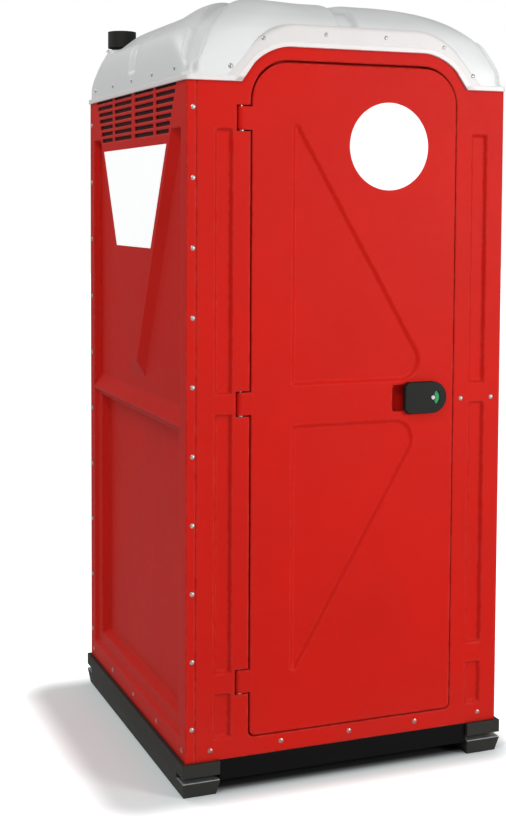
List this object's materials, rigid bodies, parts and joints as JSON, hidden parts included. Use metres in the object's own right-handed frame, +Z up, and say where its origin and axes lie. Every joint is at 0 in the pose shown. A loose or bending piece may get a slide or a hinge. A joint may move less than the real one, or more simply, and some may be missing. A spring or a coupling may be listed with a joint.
{
  "type": "portable toilet cabin",
  "caption": "Free-standing portable toilet cabin of moulded red walls with a pale domed roof, a hinged door with a turn latch, and a seat over a waste tank.",
  "frame": {"origin": "middle of the base's footprint box, on the ground", "axes": "+Z up, +Y from the door to the back wall, +X to the right seen from the door side"},
  "size_m": [1.069, 1.108, 2.378],
  "materials": {
    "moulded_red": "satin moulded polyethylene",
    "roof_plastic": "translucent satin",
    "base_black": "matt",
    "galvanised_steel": "galvanised",
    "zinc_fasteners": "zinc plated",
    "latch_black": "fine grain",
    "indicator_green": "gloss",
    "label_white": "gloss film",
    "inner_grey": "satin",
    "seat_black": "gloss",
    "paper": "soft"
  },
  "bodies": {
    "cabin": {"base_tray": "base_black", "runner_left": "base_black", "runner_right": "base_black", "tie_down_plates": "galvanised_steel", "base_screws": "zinc_fasteners", "floor_panel": "inner_grey", "left_wall": "moulded_red", "right_wall": "moulded_red", "back_wall": "moulded_red", "front_frame": "moulded_red", "door_stops": "moulded_red", "corner_rivets": "zinc_fasteners", "hinge_pins": "zinc_fasteners", "strike_plate": "galvanised_steel", "strike_rivets": "zinc_fasteners", "roof_shell": "roof_plastic", "roof_screws": "zinc_fasteners", "vent_pipe": "base_black", "vent_cap": "base_black", "side_label": "label_white", "waste_tank": "inner_grey", "seat_deck": "inner_grey", "seat_hinge_lugs": "inner_grey", "seat_hinge_pin": "zinc_fasteners", "urinal": "inner_grey", "urinal_pipe": "inner_grey", "pipe_clips": "inner_grey", "roll_holder": "inner_grey"},
    "door": {"door_panel": "moulded_red", "door_liner": "inner_grey", "round_label": "label_white", "door_pull": "latch_black", "coat_hook": "latch_black", "latch_cover": "latch_black", "latch_backplate": "latch_black", "latch_case": "latch_black", "latch_screws": "zinc_fasteners"},
    "latch": {"latch_spindle": "zinc_fasteners", "indicator_disc": "indicator_green", "latch_crank": "latch_black", "latch_knob": "latch_black"},
    "bolt": {"latch_bolt": "latch_black"},
    "seat_ring": {"seat_ring": "seat_black"},
    "seat_lid": {"seat_lid": "seat_black"},
    "paper_roll": {"paper_roll": "paper"}
  },
  "joints": [
    {"name": "door_hinge", "type": "hinge", "parent": "cabin", "child": "door", "pos_m": [-0.3505, -0.521, 1.155], "axis": [0, 0, -1], "range_deg": [0, 105]},
    {"name": "latch_turn", "type": "hinge", "parent": "door", "child": "latch", "pos_m": [0.2755, -0.521, 1.155], "axis": [0, 1, 0], "range_deg": [0, 90]},
    {"name": "bolt_slide", "type": "slide", "parent": "door", "child": "bolt", "axis": [1, 0, 0], "range_m": [0, 0.018]},
    {"name": "seat_ring_hinge", "type": "hinge", "parent": "cabin", "child": "seat_ring", "pos_m": [0, 0.417, 0.5513], "axis": [-1, 0, 0], "range_deg": [0, 95]},
    {"name": "seat_lid_hinge", "type": "hinge", "parent": "cabin", "child": "seat_lid", "pos_m": [0, 0.417, 0.5513], "axis": [-1, 0, 0], "range_deg": [-98, 0]},
    {"name": "paper_roll_spin", "type": "hinge", "parent": "cabin", "child": "paper_roll", "pos_m": [0.4125, -0.058, 0.803], "axis": [0, 1, 0], "continuous": true}
  ],
  "couplings": [
    {"joint": "bolt_slide", "follows": "latch_turn", "m_per_rad": 0.011459}
  ]
}
